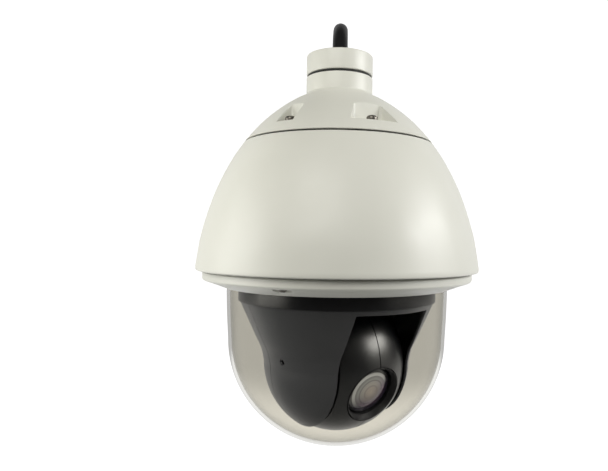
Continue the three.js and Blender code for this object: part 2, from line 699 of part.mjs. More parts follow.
// ---------------------------------------------------------------- camera ball
function ballShell(side) {
  const innerR = BALL_R - BALL_WALL;
  const seam = GAP / 2;
  const latitude = (r, y) => Math.asin(y / r) / DEG;
  const outside = arc(0, 0, BALL_R, BALL_R, latitude(BALL_R, seam), latitude(BALL_R, BALL_HALF), 4);
  const wall = BALL_HALF - BALL_WALL;
  const inside = arc(0, 0, innerR, innerR, latitude(innerR, wall), latitude(innerR, seam), 4);
  const bore = SHAFT_R + GAP;
  const half = revolve([...outside, [bore, BALL_HALF], [bore, wall], ...inside], ROUND, "y");
  if (side < 0) half.rotateX(Math.PI);
  return cut(half, disc(LENS_RING_R + GAP, 25, 80, INNER, "x"));
}

function lensBarrel() {
  const tube = revolve([
    [9, -1.7], [BARREL_R, -1.7], [BARREL_R, 37.7], [17.5, 37.7], [17.5, 0.6], [9, 0.6],
  ], INNER, "x");
  const rods = [-1, 1].map((side) => disc(0.9, 0, 37, 6, "x").translate(0, 0, side * 14));
  return join(tube, ...rods);
}

// A lens in its carriage, riding on the two guide rods.
function lensCarriage(back, front, bulge) {
  const body = revolve([
    [0, back - bulge], [11, back], [16.3, back], [16.3, front], [11, front], [0, front + bulge],
  ], 16, "x");
  const holes = [-1, 1].map((side) => disc(1.3, back - 5, front + 5, 6, "x").translate(0, 0, side * 14));
  return cut(body, ...holes);
}

function cameraBlock() {
  const earTip = BALL_HALF - BALL_WALL - GAP;
  const rightEar = box(-20, -12, 18, earTip, -4, 4);
  const leftEar = box(-20, -12, -earTip, -18, -4, 4);
  return cut(join(box(-42, -2, -20, 20, -19, 19), rightEar, leftEar), box(-14, 5, -17, 17, -16, 16));
}

function cameraBall() {
  add(ball, "tilt_shaft", stubShaft(45).rotateX(Math.PI), STEEL);
  const wheel = pulley(TILT_PULLEY_R, 3.9, 45, 50, 24).rotateX(-90 * DEG);
  add(ball, "tilt_pulley", join(stubShaft(50), wheel), STEEL);
  add(ball, "ball_shell_left", ballShell(-1), BLACK_PLASTIC);
  add(ball, "ball_shell_right", ballShell(1), BLACK_PLASTIC);
  const ringProfile = [
    [FRONT_LENS_R + GAP, 38], [LENS_RING_R, 38], [LENS_RING_R, 49.4], [22.1, 49.9],
    [21.5, 49.9], [FRONT_LENS_R + GAP, 46.2],
  ];
  add(ball, "lens_ring", revolve(ringProfile, INNER, "x"), BLACK_PLASTIC);
  add(ball, "lens_barrel", lensBarrel(), BLACK_PLASTIC);
  const glass = [[0, 38], [FRONT_LENS_R, 38], [FRONT_LENS_R, 43], [14.2, 45.1], [7.4, 46.5], [0, 47]];
  add(ball, "front_lens", revolve(glass, INNER, "x"), GLASS);
  add(ball, "zoom_group", lensCarriage(22, 27, 1.5), GLASS);
  add(ball, "focus_group", lensCarriage(6.5, 9.5, 1), GLASS);
  add(ball, "ir_cut_filter", box(-7, -6, -6, 6, -6, 6), GLASS);
  const board = join(box(-13, -11.5, -14, 14, -13, 13), box(-11.6, -10.4, -5, 5, -4, 4));
  add(ball, "sensor_board", board, BOARD);
  add(ball, "camera_block", cameraBlock(), DARK_STEEL);
}

neckAndCap();
housingAndBezel();
cableAndConnector();
electronics();
panDrive();
yoke();
tiltDrive();
cameraBall();

export default camera;
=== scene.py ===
"""Pendant PTZ dome camera: fine meshes, materials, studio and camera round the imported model.

Lengths are metres in Blender. Outlines are written in millimetres and scaled by MM."""
import json
import math

import bmesh
import bpy
from mathutils import Matrix, Vector


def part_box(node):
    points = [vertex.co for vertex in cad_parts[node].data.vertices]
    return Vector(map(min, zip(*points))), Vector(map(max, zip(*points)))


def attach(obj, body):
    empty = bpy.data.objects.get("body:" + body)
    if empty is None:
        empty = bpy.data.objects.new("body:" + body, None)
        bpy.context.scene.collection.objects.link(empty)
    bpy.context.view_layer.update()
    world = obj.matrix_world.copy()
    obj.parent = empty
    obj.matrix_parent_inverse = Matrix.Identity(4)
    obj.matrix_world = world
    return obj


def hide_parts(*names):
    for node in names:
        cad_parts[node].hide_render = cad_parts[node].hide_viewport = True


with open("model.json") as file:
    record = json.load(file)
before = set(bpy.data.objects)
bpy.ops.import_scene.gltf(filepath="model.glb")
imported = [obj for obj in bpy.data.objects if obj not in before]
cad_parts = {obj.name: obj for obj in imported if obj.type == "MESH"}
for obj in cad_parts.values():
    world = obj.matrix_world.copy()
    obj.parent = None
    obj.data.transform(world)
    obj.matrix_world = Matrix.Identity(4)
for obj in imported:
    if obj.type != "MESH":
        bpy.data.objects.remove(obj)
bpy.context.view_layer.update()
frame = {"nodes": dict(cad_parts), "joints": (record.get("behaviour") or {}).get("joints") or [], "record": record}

MM = 0.001
FINE = 192  # sides of a large round piece
MID = 96
SMALL = 48
ON_AXIS = 1e-6  # a smaller radius counts as none

# ---------------------------------------------------------------- places, from the frame
RECORD = frame["record"]
BODY_OF = {n: body for body, members in RECORD["behaviour"]["bodies"].items() for n in members}
SLOT_OF = {s["node"]: s["material_slot"] for s in RECORD["subparts"]}
JOINT = {j["name"]: j for j in frame["joints"]}
UP = Vector((0, 0, 1))
TILT_AXIS = Vector(JOINT["tilt"]["axis"]).normalized()
TILT_CENTRE = Vector(JOINT["tilt"]["pos_m"])
TILT_Z = TILT_CENTRE.z / MM
LENS_AXIS = Vector(JOINT["zoom_travel"]["axis"]).normalized()


def frame_of(x_axis, y_axis, origin=(0, 0, 0)):
    x, y = Vector(x_axis).normalized(), Vector(y_axis).normalized()
    axes = Matrix((x, y, x.cross(y))).transposed().to_4x4()
    return Matrix.Translation(Vector(origin)) @ axes


HEAD = frame_of(TILT_AXIS.cross(UP), TILT_AXIS)  # +X is where the lens faces, +Y the tilt axis
BALL = frame_of(LENS_AXIS, TILT_AXIS, TILT_CENTRE)


def heading_of(node):
    """The angle of a node's middle round Z, from +X."""
    low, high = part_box(node)
    middle = (low + high) / 2
    return math.atan2(middle.y, middle.x)


def heights(node):
    """A node's top and bottom, in millimetres."""
    low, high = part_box(node)
    return high.z / MM, low.z / MM


# ---------------------------------------------------------------- mesh helpers
def link(name, mesh, place=None):
    piece = bpy.data.objects.new(name, mesh)
    bpy.context.scene.collection.objects.link(piece)
    if place is not None:
        piece.matrix_world = place
    return piece


def mesh_of(name, points, faces):
    mesh = bpy.data.meshes.new(name)
    mesh.from_pydata([tuple(p) for p in points], [], faces)
    mesh.update()
    return mesh


def arc(cx, cz, rx, rz, start, end, steps):
    """Points on an ellipse round (cx, cz), from one angle to another in degrees."""
    turns = [math.radians(start + (end - start) * i / steps) for i in range(steps + 1)]
    return [(cx + rx * math.cos(a), cz + rz * math.sin(a)) for a in turns]


def spline(points, steps):
    """A Catmull-Rom curve through the points, with even steps for each stretch."""
    out = []
    last = len(points) - 1
    for i in range(last):
        p0, p1 = points[max(i - 1, 0)], points[i]
        p2, p3 = points[i + 1], points[min(i + 2, last)]
        for k in range(steps):
            t = k / steps
            out.append(tuple(
                0.5 * (2 * b + (c - a) * t + (2 * a - 5 * b + 4 * c - d) * t * t
                       + (3 * b - a - 3 * c + d) * t ** 3)
                for a, b, c, d in zip(p0, p1, p2, p3)))
    return out + [tuple(points[-1])]


def inset(points, wall):
    """The same outline moved inwards by a wall's thickness."""
    out = []
    for i, (r, z) in enumerate(points):
        r0, z0 = points[max(i - 1, 0)]
        r1, z1 = points[min(i + 1, len(points) - 1)]
        length = math.hypot(r1 - r0, z1 - z0)
        out.append((r + (z1 - z0) / length * wall, z - (r1 - r0) / length * wall))
    return out


def soften(points, radius, closed=True, sharp=25):
    """Rounds each corner of an outline that turns by more than `sharp` degrees."""
    steps = 3
    out = []
    count = len(points)
    for i, p in enumerate(points):
        here = Vector(p)
        if not closed and i in (0, count - 1):
            out.append(tuple(p))
            continue
        back = Vector(points[i - 1]) - here
        ahead = Vector(points[(i + 1) % count]) - here
        if back.length < 1e-6 or ahead.length < 1e-6:
            continue
        turn = math.degrees(back.angle(-ahead))
        if turn < sharp:
            out.append(tuple(p))
            continue
        reach = min(radius, 0.42 * back.length, 0.42 * ahead.length)
        start, end = here + back.normalized() * reach, here + ahead.normalized() * reach
        for k in range(steps + 1):
            t = k / steps
            out.append(tuple(start * (1 - t) ** 2 + here * 2 * t * (1 - t) + end * t * t))
    return out


# where a point lies from its radius r, its distance a along the axis, and its turn's cosine c and sine s
AXES = {
    "x": lambda r, a, c, s: (a, r * c, r * s),
    "y": lambda r, a, c, s: (r * s, a, r * c),
    "z": lambda r, a, c, s: (r * c, r * s, a),
}


def lathe(name, outline, sides, axis="z", place=None, ripple=None, closed=True):
    """A solid of revolution from (radius, distance along the axis) points, in millimetres.

    `ripple(turn, radius, along)` may change a point's radius. Points on the axis become one."""
    put = AXES[axis]
    points, rows = [], []
    for r, along in outline:
        if r < ON_AXIS:
            rows.append([len(points)] * sides)
            points.append([v * MM for v in put(0, along, 1, 0)])
            continue
        rows.append(list(range(len(points), len(points) + sides)))
        for k in range(sides):
            turn = 2 * math.pi * k / sides
            radius = ripple(turn, r, along) if ripple else r
            points.append([v * MM for v in put(radius, along, math.cos(turn), math.sin(turn))])
    meets_axis = outline[0][0] < ON_AXIS and outline[-1][0] < ON_AXIS
    pairs = list(zip(rows, rows[1:]))
    if closed and not meets_axis:
        pairs.append((rows[-1], rows[0]))
    faces = []
    for low, high in pairs:
        for k in range(sides):
            n = (k + 1) % sides
            corners = [low[k], low[n], high[n], high[k]]
            face = [c for i, c in enumerate(corners) if c not in corners[:i]]
            if len(face) > 2:
                faces.append(face)
    piece = link(name, mesh_of(name, points, faces), place)
    clean(piece)
    return piece


def clean(piece, weld=0.0):
    """Merges stray points, turns the faces outwards and marks the edges that stay crisp."""
    work = bmesh.new()
    work.from_mesh(piece.data)
    if weld:
        bmesh.ops.remove_doubles(work, verts=work.verts, dist=weld)
        bmesh.ops.dissolve_degenerate(work, dist=weld * 0.2, edges=work.edges)
    bmesh.ops.recalc_face_normals(work, faces=work.faces)
    if work.calc_volume(signed=True) < 0:
        bmesh.ops.reverse_faces(work, faces=work.faces)
    for face in work.faces:
        face.smooth = True
    for edge in work.edges:
        edge.smooth = len(edge.link_faces) != 2 or edge.calc_face_angle(0) < math.radians(32)
    work.to_mesh(piece.data)
    work.free()
    piece.data.update()


def bake(piece):
    """Turns the piece's modifiers into its mesh."""
    bpy.context.view_layer.update()
    seen = piece.evaluated_get(bpy.context.evaluated_depsgraph_get())
    mesh = bpy.data.meshes.new_from_object(seen)
    piece.modifiers.clear()
    piece.data = mesh


def cut(piece, tools):
    """Takes the tools' shapes out of the piece."""
    for tool in tools:
        step = piece.modifiers.new("cut", "BOOLEAN")
        step.operation = "DIFFERENCE"
        step.solver = "MANIFOLD"
        step.object = tool
    bake(piece)
    for tool in tools:
        bpy.data.objects.remove(tool)
    clean(piece, 0.00004)


def bevel(piece, width, segments=2, limit=38):
    step = piece.modifiers.new("edge", "BEVEL")
    step.width = width * MM
    step.segments = segments
    step.limit_method = "ANGLE"
    step.angle_limit = math.radians(limit)
    step.use_clamp_overlap = True
    bake(piece)
    clean(piece)


def prism(name, outline, low, high, place=None):
    """An outline of (x, y) points in millimetres, thickened along Z."""
    count = len(outline)
    points = [(x * MM, y * MM, z * MM) for z in (low, high) for x, y in outline]
    faces = [list(range(count))[::-1], list(range(count, 2 * count))]
    faces += [[i, (i + 1) % count, count + (i + 1) % count, count + i] for i in range(count)]
    piece = link(name, mesh_of(name, points, faces), place)
    clean(piece)
    return piece


def block(name, x, y, z, place=None):
    corners = [(x[0], y[0]), (x[1], y[0]), (x[1], y[1]), (x[0], y[1])]
    return prism(name, corners, z[0], z[1], place)


def rod(name, radius, low, high, axis="z", place=None, sides=SMALL):
    return lathe(name, [(0, low), (radius, low), (radius, high), (0, high)], sides, axis, place)


def turned(angle):
    return Matrix.Rotation(angle, 4, "Z")


def merge(piece, others):
    """Joins other pieces' meshes into the first, as loose shells of one piece."""
    work = bmesh.new()
    work.from_mesh(piece.data)
    for other in others:
        copy = other.data.copy()
        copy.transform(piece.matrix_world.inverted() @ other.matrix_world)
        work.from_mesh(copy)
        bpy.data.meshes.remove(copy)
        bpy.data.objects.remove(other)
    work.to_mesh(piece.data)
    work.free()
    clean(piece)


def stand_for(piece, look, node, keep_axes=False):
    """The piece takes the place of that CAD node, with its body and finish.

    Its place goes into its mesh, unless its material needs the piece's own axes."""
    if piece.type == "MESH" and not keep_axes:
        piece.data.transform(piece.matrix_world)
        piece.matrix_world = Matrix.Identity(4)
    piece.data.materials.clear()
    piece.data.materials.append(look)
    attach(piece, BODY_OF[node])
    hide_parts(node)
    return piece


# ---------------------------------------------------------------- materials
def feed(tree, socket, value):
    """Sets a socket to a value, or links it to another socket."""
    if isinstance(value, bpy.types.NodeSocket):
        tree.links.new(value, socket)
    else:
        socket.default_value = value


def mixed(tree, factor, off, on):
    """A number that goes from `off` to `on` with the factor."""
    node = tree.nodes.new("ShaderNodeMix")
    for index, value in ((0, factor), (2, off), (3, on)):
        feed(tree, node.inputs[index], value)
    return node.outputs[0]


class Look:
    """A material with a Principled shader and short ways to add nodes."""

    def __init__(self, name, color, roughness, metallic=0.0, **uniform):
        self.material = bpy.data.materials.new(name)
        self.material.use_nodes = True
        self.tree = self.material.node_tree
        self.nodes = self.tree.nodes
        self.shader = self.nodes["Principled BSDF"]
        self.set("Base Color", (*color, 1))
        self.set("Roughness", roughness)
        self.set("Metallic", metallic)
        for key, value in uniform.items():
            self.set(key.replace("_", " "), value)
        self.coords = self.nodes.new("ShaderNodeTexCoord").outputs["Object"]

    def set(self, socket, value):
        self.shader.inputs[socket].default_value = value

    def join(self, source, target):
        self.tree.links.new(source, target)

    def split(self):
        """The object's own X, Y and Z as sockets."""
        node = self.nodes.new("ShaderNodeSeparateXYZ")
        self.join(self.coords, node.inputs["Vector"])
        return node.outputs

    def maths(self, operation, first, second):
        node = self.nodes.new("ShaderNodeMath")
        node.operation = operation
        feed(self.tree, node.inputs[0], first)
        feed(self.tree, node.inputs[1], second)
        return node.outputs["Value"]

    def remap(self, source, start, end, low=0.0, high=1.0, way="SMOOTHSTEP"):
        """Goes from `low` to `high` while the source goes from `start` to `end`."""
        node = self.nodes.new("ShaderNodeMapRange")
        node.interpolation_type = way
        for socket, value in (("From Min", start), ("From Max", end), ("To Min", low), ("To Max", high)):
            node.inputs[socket].default_value = value
        self.join(source, node.inputs["Value"])
        return node.outputs["Result"]

    def noise(self, scale, detail, stretch=None):
        node = self.nodes.new("ShaderNodeTexNoise")
        node.inputs["Scale"].default_value = scale
        node.inputs["Detail"].default_value = detail
        node.inputs["Roughness"].default_value = 0.55
        source = self.coords
        if stretch:
            mapping = self.nodes.new("ShaderNodeMapping")
            mapping.inputs["Scale"].default_value = stretch
            self.join(self.coords, mapping.inputs["Vector"])
            source = mapping.outputs["Vector"]
        self.join(source, node.inputs["Vector"])
        return node.outputs["Fac"]

    def ramp(self, source, stops):
        node = self.nodes.new("ShaderNodeValToRGB")
        elements = node.color_ramp.elements
        while len(elements) < len(stops):
            elements.new(0.5)
        for element, (place, color) in zip(elements, stops):
            element.position = place
            element.color = (*color, 1)
        self.join(source, node.inputs["Fac"])
        return node.outputs["Color"]

    def tint(self, source, dark, light, low=0.3, high=0.7):
        """Drives the base colour between two colours."""
        self.join(self.ramp(source, [(low, dark), (high, light)]), self.shader.inputs["Base Color"])

    def sheen_of(self, source, low, high):
        """Drives the roughness between two values."""
        self.join(self.remap(source, 0.3, 0.7, low, high, "LINEAR"), self.shader.inputs["Roughness"])
        return self

    def bump(self, *layers):
        """Each layer is (height source, strength, distance in metres)."""
        before = None
        for source, strength, distance in layers:
            node = self.nodes.new("ShaderNodeBump")
            node.inputs["Strength"].default_value = strength
            node.inputs["Distance"].default_value = distance
            self.join(source, node.inputs["Height"])
            if before:
                self.join(before, node.inputs["Normal"])
            before = node.outputs["Normal"]
        self.join(before, self.shader.inputs["Normal"])
        return self


def powder_coat():
    look = Look("housing_powder_coat", (0.8, 0.8, 0.72), 0.4, Coat_Weight=0.05, Coat_Roughness=0.25)
    cloud = look.noise(14, 4)
    look.tint(cloud, (0.778, 0.776, 0.7), (0.822, 0.82, 0.745), 0.25, 0.75)
    look.sheen_of(look.noise(60, 3), 0.36, 0.46)
    return look.bump((look.noise(420, 2), 0.2, 0.00004), (look.noise(2600, 2), 0.15, 0.00002)).material


def moulded_black(name, shade, roughness, grain=0.04, gloss=0.5):
    look = Look(name, shade, roughness, Specular_IOR_Level=gloss)
    dark = tuple(0.92 * c for c in shade)
    light = tuple(1.08 * c for c in shade)
    look.tint(look.noise(22, 3), dark, light)
    look.sheen_of(look.noise(240, 3), roughness - 0.012, roughness + 0.012)
    return look.bump((look.noise(1900, 2), grain, 0.00002)).material


def clear_dome():
    """A faintly smoked wall, darker where the view passes along it."""
    look = Look("clear_polycarbonate", (0.8, 0.77, 0.71), 0.015, Transmission_Weight=1.0, IOR=1.045)
    grazing = look.nodes.new("ShaderNodeLayerWeight")
    grazing.inputs["Blend"].default_value = 0.5
    stops = [(0.0, (0.8, 0.782, 0.725)), (0.6, (0.79, 0.772, 0.715)),
             (0.85, (0.5, 0.49, 0.45)), (0.96, (0.2, 0.2, 0.18))]
    look.join(look.ramp(grazing.outputs["Facing"], stops), look.shader.inputs["Base Color"])
    return look.sheen_of(look.noise(35, 3), 0.012, 0.03).material


FRONT_GLASS_R = 19.9
# the side of the front glass where its painted highlight lies
PAINTED_HIGHLIGHT_SIDE = (-0.6, 0.75)  # which way the front glass brightens, along the tilt axis and up


def painted_lens_reflection():
    """Painted reflections on a coated glass: rings of warm light, a painted highlight high up on one side, and
    painted shade, dark and violet, on the other.
    """
    look = Look("front_glass_painted_reflection", (0.3, 0.27, 0.26), 0.08, 0.3, Coat_Weight=1.0, Coat_Roughness=0.01)
    parts = look.split()
    across, up = (look.maths("MULTIPLY", parts[axis], 1 / (FRONT_GLASS_R * MM)) for axis in "YZ")
    squares = look.maths("ADD", look.maths("MULTIPLY", across, across), look.maths("MULTIPLY", up, up))
    radius = look.maths("POWER", squares, 0.5)
    # the rings, the white glint near the rim and the dark violet side are painted reflection, painted highlight
    # and painted shade in the glass's colour
    bright = [(0.0, (0.66, 0.57, 0.48)), (0.24, (0.62, 0.55, 0.48)), (0.28, (0.4, 0.36, 0.32)),
              (0.33, (0.6, 0.56, 0.5)), (0.47, (0.52, 0.5, 0.46)), (0.5, (0.28, 0.27, 0.25)),
              (0.55, (0.5, 0.5, 0.47)), (0.66, (0.34, 0.34, 0.32)), (0.7, (0.9, 0.9, 0.86)),
              (0.78, (0.85, 0.85, 0.8)), (0.81, (0.14, 0.14, 0.13)), (0.88, (0.25, 0.25, 0.24)),
              (0.93, (0.02, 0.02, 0.02))]
    dim = [(0.0, (0.46, 0.39, 0.33)), (0.25, (0.26, 0.22, 0.2)), (0.45, (0.2, 0.16, 0.18)),
           (0.5, (0.1, 0.065, 0.095)), (0.64, (0.13, 0.075, 0.12)), (0.68, (0.04, 0.026, 0.045)),
           (0.82, (0.05, 0.035, 0.07)), (0.93, (0.008, 0.008, 0.01))]
    lean = [look.maths("MULTIPLY", place, share) for place, share in zip((across, up), PAINTED_HIGHLIGHT_SIDE)]
    blend = look.nodes.new("ShaderNodeMix")
    blend.data_type = "RGBA"
    look.join(look.remap(look.maths("ADD", *lean), -0.35, 0.45), blend.inputs["Factor"])
    look.join(look.ramp(radius, dim), blend.inputs[6])
    look.join(look.ramp(radius, bright), blend.inputs[7])
    look.join(blend.outputs[2], look.shader.inputs["Base Color"])
    return look.sheen_of(look.noise(120, 2), 0.06, 0.11).material


def inner_glass():
    look = Look("inner_lens_glass", (0.8, 0.76, 0.84), 0.02, Transmission_Weight=1.0, IOR=1.5)
    look.tint(look.noise(40, 2), (0.76, 0.7, 0.82), (0.84, 0.82, 0.88))
    return look.sheen_of(look.noise(80, 2), 0.015, 0.04).material


def soft_rubber():
    look = Look("black_rubber", (0.018, 0.018, 0.018), 0.75)
    look.tint(look.noise(70, 4), (0.012, 0.012, 0.012), (0.028, 0.028, 0.027))
    look.sheen_of(look.noise(200, 3), 0.65, 0.85)
    return look.bump((look.noise(1500, 3), 0.35, 0.00004)).material


def cable_jacket():
    look = Look("cable_jacket", (0.01, 0.01, 0.011), 0.42, Specular_IOR_Level=0.3)
    look.tint(look.noise(45, 3), (0.008, 0.008, 0.009), (0.013, 0.013, 0.014))
    look.sheen_of(look.noise(130, 3), 0.36, 0.5)
    return look.bump((look.noise(900, 3), 0.3, 0.00003), (look.noise(160, 2), 0.2, 0.00006)).material


def metal(name, shade, roughness, brushed=None):
    look = Look(name, shade, roughness, 1.0)
    dark = tuple(0.88 * c for c in shade)
    look.tint(look.noise(60, 5), dark, shade)
    look.sheen_of(look.noise(110, 4), roughness - 0.06, roughness + 0.1)
    grain = look.noise(700, 3, stretch=brushed) if brushed else look.noise(1300, 3)
    return look.bump((grain, 0.25, 0.00002)).material


def cast_alloy():
    look = Look("cast_alloy", (0.5, 0.5, 0.49), 0.48, 0.9)
    look.tint(look.noise(30, 5), (0.42, 0.42, 0.41), (0.56, 0.56, 0.55))
    look.sheen_of(look.noise(160, 4), 0.42, 0.6)
    return look.bump((look.noise(800, 4), 0.5, 0.00006)).material


def circuit_board():
    """Green solder mask with fine tracks in two directions."""
    look = Look("circuit_board", (0.02, 0.13, 0.06), 0.35, Coat_Weight=0.3)
    tracks = look.nodes.new("ShaderNodeTexBrick")
    tracks.inputs["Scale"].default_value = 260
    tracks.inputs["Mortar Size"].default_value = 0.035
    tracks.inputs["Color1"].default_value = (0.02, 0.14, 0.06, 1)
    tracks.inputs["Color2"].default_value = (0.016, 0.11, 0.05, 1)
    tracks.inputs["Mortar"].default_value = (0.1, 0.3, 0.14, 1)
    look.join(look.coords, tracks.inputs["Vector"])
    look.join(tracks.outputs["Color"], look.shader.inputs["Base Color"])
    look.sheen_of(look.noise(90, 3), 0.3, 0.42)
    return look.bump((tracks.outputs["Fac"], 0.3, 0.00003)).material


WHITE = powder_coat()
COVER_BLACK = moulded_black("cover_satin_black", (0.066, 0.068, 0.076), 0.4)
BALL_BLACK = moulded_black("ball_gloss_black", (0.006, 0.0062, 0.0078), 0.32, 0.005, 0.9)
RING_BLACK = moulded_black("lens_ring_black", (0.016, 0.016, 0.017), 0.42)
SKIRT_BLACK = moulded_black("skirt_gloss_black", (0.006, 0.006, 0.009), 0.3, 0.02)
# near-black matt plastic; on the covers' inward faces it is painted shade
MATT_BLACK_AND_SHADE = moulded_black("matt_black_and_painted_shade", (0.003, 0.003, 0.0035), 0.6, 0.3, 0.15)
DOME = clear_dome()
FRONT_GLASS = painted_lens_reflection()
LENS_GLASS = inner_glass()
RUBBER = soft_rubber()
JACKET = cable_jacket()
STEEL = metal("machined_steel", (0.6, 0.6, 0.62), 0.28, (1, 1, 14))
DARK_STEEL = metal("dark_zinc_steel", (0.2, 0.185, 0.16), 0.34)
BRASS = metal("turned_brass", (0.62, 0.46, 0.2), 0.3, (1, 1, 12))
GOLD = metal("contact_gold", (0.8, 0.6, 0.25), 0.22)
ALLOY = cast_alloy()
BOARD = circuit_board()

# ---------------------------------------------------------------- camera, first
CAMERA_BACK = 0.463  # from the pan axis
CAMERA_HEIGHT = -0.142
CAMERA_SIDE = 0.005
CAMERA_ROLL = math.radians(0.7)
CAMERA_SHIFT = -0.0658
FOCAL_PER_WIDTH = 580 / 608  # focal length over the frame's width
SENSOR = 36.0


def make_camera():
    data = bpy.data.cameras.new("photo_camera")
    data.sensor_width = SENSOR
    data.lens = SENSOR * FOCAL_PER_WIDTH
    data.shift_x = CAMERA_SHIFT
    data.clip_start = 0.02
    camera = link("photo_camera", data)
    level = Matrix.Rotation(math.radians(90), 4, "X") @ Matrix.Rotation(CAMERA_ROLL, 4, "Z")
    camera.matrix_world = Matrix.Translation((CAMERA_SIDE, -CAMERA_BACK, CAMERA_HEIGHT)) @ level
    bpy.context.scene.camera = camera


# ---------------------------------------------------------------- cable, gland and connector
CABLE_R = 6.2
CABLE_ROUTE = [
    (0, 0, -70), (0, 0, -52), (0, 0, -36), (0, 0, -20.5),
    (0, 4.5, 2.1), (0, 17.3, 21.2), (0, 36.4, 34), (0, 59, 38.5), (0, 81.8, 34), (0, 101.2, 21.2),
    (0, 114.4, 2.1), (0, 119.6, -20.5), (0, 121, -48), (0, 121, -80), (0, 120.2, -112),
    (0, 119.2, -144), (0, 118.6, -176), (0, 118.4, -208), (0, 118.4, -240),
]
GLAND_TOP = -55.0
CONNECTOR = Matrix.Translation((0, CABLE_ROUTE[-1][1] * MM, 0))


def cable_curve():
    line = bpy.data.curves.new("cable_fine", "CURVE")
    line.dimensions = "3D"
    line.bevel_depth = CABLE_R * MM
    line.bevel_resolution = 12
    line.use_fill_caps = True
    fine = spline(CABLE_ROUTE, 8)
    strand = line.splines.new("POLY")
    strand.points.add(len(fine) - 1)
    for point, place in zip(strand.points, fine):
        point.co = (*[v * MM for v in place], 1)
    strand.use_smooth = True
    piece = link("cable_fine", line)
    return stand_for(piece, JACKET, "cable")


def pin_places(radius, count, start=45):
    turns = [math.radians(start + 360 * k / count) for k in range(count)]
    return [(radius * math.cos(a), radius * math.sin(a)) for a in turns]


def connector():
    top, bottom = heights("connector_body")
    ribs = []
    for k in range(5):
        z = top - 3.5 - 2.9 * k
        r = 7.9 + 0.28 * k
        ribs += [(r, z), (r, z - 1.5), (r - 0.9, z - 1.9), (r - 0.9, z - 2.5)]
    shell = [(0, top), (6.9, top), (7.5, top - 1.2), *ribs, (9.4, -258.6), (9.4, -261), (6.9, -261),
             (6.9, bottom), (5.8, bottom), (5.8, -276), (0, -276)]
    body = lathe("connector_body_fine", soften(shell, 0.35), MID, place=CONNECTOR)
    stand_for(body, MATT_BLACK_AND_SHADE, "connector_body")
    pins = []
    for k, (x, y) in enumerate(pin_places(3.2, 4)):
        at = CONNECTOR @ Matrix.Translation((x * MM, y * MM, 0))
        tip = [(0, bottom + 0.9), (0.5, bottom + 1.0), (0.9, bottom + 1.7), (0.9, -275.6), (0, -275.6)]
        pins.append(lathe(f"pin_{k}", tip, 24, place=at))
    first = pins[0]
    merge(first, pins[1:])
    first.name = "connector_pins"
    first.data.materials.append(GOLD)
    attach(first, "root")
    key = block("connector_key", (-0.9, 0.9), (4.6, 6.2), (-283.4, -275.6), CONNECTOR)
    bevel(key, 0.2)
    key.data.materials.append(MATT_BLACK_AND_SHADE)
    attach(key, "root")

    top, bottom = heights("connector_ring")
    flutes = 28

    def knurl(turn, radius, along):
        gripped = radius > 11.2 and bottom + 1.6 < along < top - 1.6
        return radius - 0.55 * abs(math.sin(turn * flutes / 2)) ** 3 if gripped else radius

    outside = [(10.4, top), (11.4, top - 1), (11.4, top - 1.7), (11.4, top - 4), (11.4, -272),
               (11.4, bottom + 4), (11.4, bottom + 1.7), (11.4, bottom + 1), (10.4, bottom)]
    threads = [(9.6 + 0.35 * (k % 2), bottom + 0.8 + 0.55 * k) for k in range(26)]
    ring = [*outside, (9.9, bottom), *threads, (9.6, -266), (7.2, -266), (7.2, top)]
    nut = lathe("connector_ring_fine", ring, 168, place=CONNECTOR, ripple=knurl)
    stand_for(nut, STEEL, "connector_ring")
    return [body, nut, first, key]


def six_sides(half_width, band_r):
    """A ripple that makes six flats, `half_width` from the axis, of what is wider than `band_r`."""
    side = math.pi / 3

    def flats(turn, radius, _along):
        return radius if radius < band_r else min(radius, half_width / math.cos(turn % side - side / 2))

    return flats


def gland():
    nut_outline = [(13, -65.7), (13, -65.2), (13, -62), (13, -59.9), (13, -59.4), (11.8, -57.2), (9.8, -55.6),
                   (8.4, GLAND_TOP), (6.5, GLAND_TOP), (6.5, -59.7), (10, -59.7), (10, -65.7)]
    stand_for(lathe("gland_nut_fine", nut_outline, MID, ripple=six_sides(11.4, 12.5)), BRASS, "gland_nut")
    threads = [(9.6 - 0.5 * (k % 2), -77.4 - 0.5 * k) for k in range(13)]
    body_outline = [(7.2, -60), (9.4, -60), (9.4, -66), (13.8, -66), (13.8, -66.5), (13.8, -70),
                    (13.8, -73.1), (13.8, -73.6), (9.6, -73.6), *threads, (9.4, -84), (7.2, -84)]
    stand_for(lathe("gland_body_fine", body_outline, MID, ripple=six_sides(12, 13)), BRASS, "gland_body")
    top, bottom = heights("strain_relief")
    outline = [(6.5, bottom), (10, bottom), (10, bottom + 3.4)]
    for k in range(7):
        z = bottom + 5 + k * 3.7
        r = 9.35 - 0.25 * k
        outline += [(r - 0.9, z), (r - 0.9, z + 0.9), (r, z + 1.3), (r - 0.08, z + 2.9)]
    outline += [(7.3, top - 0.6), (7.0, top), (6.5, top)]
    boot = lathe("strain_relief_fine", soften(outline, 0.3), MID)
    stand_for(boot, RUBBER, "strain_relief")


# ---------------------------------------------------------------- neck and cap
NECK_R = 26.3
THREAD_R = 19.6
THREAD_DEPTH = 1.3
THREAD_PITCH = 2.309
POCKET_FLOOR = -61.5
POCKET_BACK = 51
POCKET_LENGTH = 15
POCKET_CORNER = 3.2
POCKET_HOLE_R = 2.3
CAP_SCREW_AT = 59.5  # from the pan axis
CAP_WALL = 3.2
CAP_SLOPE = [(NECK_R, -30.2), (28.2, -32.4), (31.8, -34.1), (37.3, -37.1), (48, -44.3), (59.3, -53.8),
             (68.1, -63.1), (73.4, -69.8)]
POCKETS = [(12, 21), (6.5, 8), (12, 21), (6.5, 8)]  # half widths of cap_screw_1 to 4's pockets
POCKET_TURNS = [-66.5, 55, 113.5, 235]  # degrees round Z, from +X


